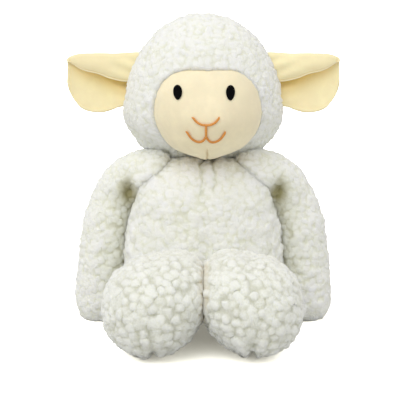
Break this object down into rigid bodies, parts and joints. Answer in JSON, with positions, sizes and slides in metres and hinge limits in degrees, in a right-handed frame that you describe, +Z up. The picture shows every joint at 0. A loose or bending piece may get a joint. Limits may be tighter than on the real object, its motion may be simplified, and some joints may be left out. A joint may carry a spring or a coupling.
{
  "type": "plush sheep",
  "caption": "Seated plush lamb with a round fleece hood, domed cream face, folded leaf ears, long hanging arms and big ball feet stretched forward.",
  "frame": {"origin": "on the floor under the middle of the bounding box of the seated sheep", "axes": "+Z up; the sheep looks along -Y; +X is the sheep's own left, which is the right-hand side of a picture taken from the front"},
  "size_m": [0.243, 0.234, 0.275],
  "materials": {
    "fleece": "matte",
    "face_plush": "matte",
    "ear_plush": "matte",
    "eye_thread": "satin",
    "tan_thread": "satin",
    "padding": "matte",
    "beans": "matte"
  },
  "bodies": {
    "torso": {"body_front_left": "fleece", "body_front_right": "fleece", "body_back": "fleece", "body_base": "fleece", "body_padding": "padding", "seat_bean_bag": "beans"},
    "head": {"head_hood": "fleece", "head_padding": "padding", "face_panel": "face_plush", "eye_left": "eye_thread", "eye_right": "eye_thread", "nose_embroidery": "tan_thread", "mouth_embroidery": "tan_thread"},
    "left_ear": {"ear_left_back": "ear_plush", "ear_left_front": "ear_plush"},
    "right_ear": {"ear_right_back": "ear_plush", "ear_right_front": "ear_plush"},
    "left_arm": {"arm_left_front": "fleece", "arm_left_back": "fleece", "arm_left_padding": "padding"},
    "right_arm": {"arm_right_front": "fleece", "arm_right_back": "fleece", "arm_right_padding": "padding"},
    "left_leg": {"leg_left_inner": "fleece", "leg_left_outer": "fleece", "leg_left_padding": "padding"},
    "right_leg": {"leg_right_inner": "fleece", "leg_right_outer": "fleece", "leg_right_padding": "padding"},
    "tail": {"tail": "fleece"}
  },
  "joints": [
    {"name": "head_nod", "type": "hinge", "parent": "torso", "child": "head", "pos_m": [0, 0.045, 0.187], "axis": [1, 0, 0], "range_deg": [-15, 15], "stiffness_Nm_per_rad": 0.5},
    {"name": "left_ear_swing", "type": "hinge", "parent": "head", "child": "left_ear", "pos_m": [0.06766, 0.048, 0.215], "axis": [-0.2579, 0, 0.9662], "range_deg": [-20, 20], "stiffness_Nm_per_rad": 0.008},
    {"name": "right_ear_swing", "type": "hinge", "parent": "head", "child": "right_ear", "pos_m": [-0.06766, 0.048, 0.215], "axis": [-0.2579, 0, -0.9662], "range_deg": [-20, 20], "stiffness_Nm_per_rad": 0.008},
    {"name": "left_arm_swing", "type": "hinge", "parent": "torso", "child": "left_arm", "pos_m": [0.05263, 0.047, 0.134], "axis": [-0.9511, -0.309, 0], "range_deg": [-10, 100]},
    {"name": "right_arm_swing", "type": "hinge", "parent": "torso", "child": "right_arm", "pos_m": [-0.05263, 0.047, 0.134], "axis": [-0.9511, 0.309, 0], "range_deg": [-10, 100]},
    {"name": "left_leg_swing", "type": "hinge", "parent": "torso", "child": "left_leg", "pos_m": [0.0409, 0.042, 0.0535], "axis": [-1, 0, 0], "range_deg": [-60, 30]},
    {"name": "right_leg_swing", "type": "hinge", "parent": "torso", "child": "right_leg", "pos_m": [-0.0409, 0.042, 0.0535], "axis": [-1, 0, 0], "range_deg": [-60, 30]},
    {"name": "tail_lift", "type": "hinge", "parent": "torso", "child": "tail", "pos_m": [0, 0.09597, 0.052], "axis": [1, 0, 0], "range_deg": [0, 60]}
  ]
}
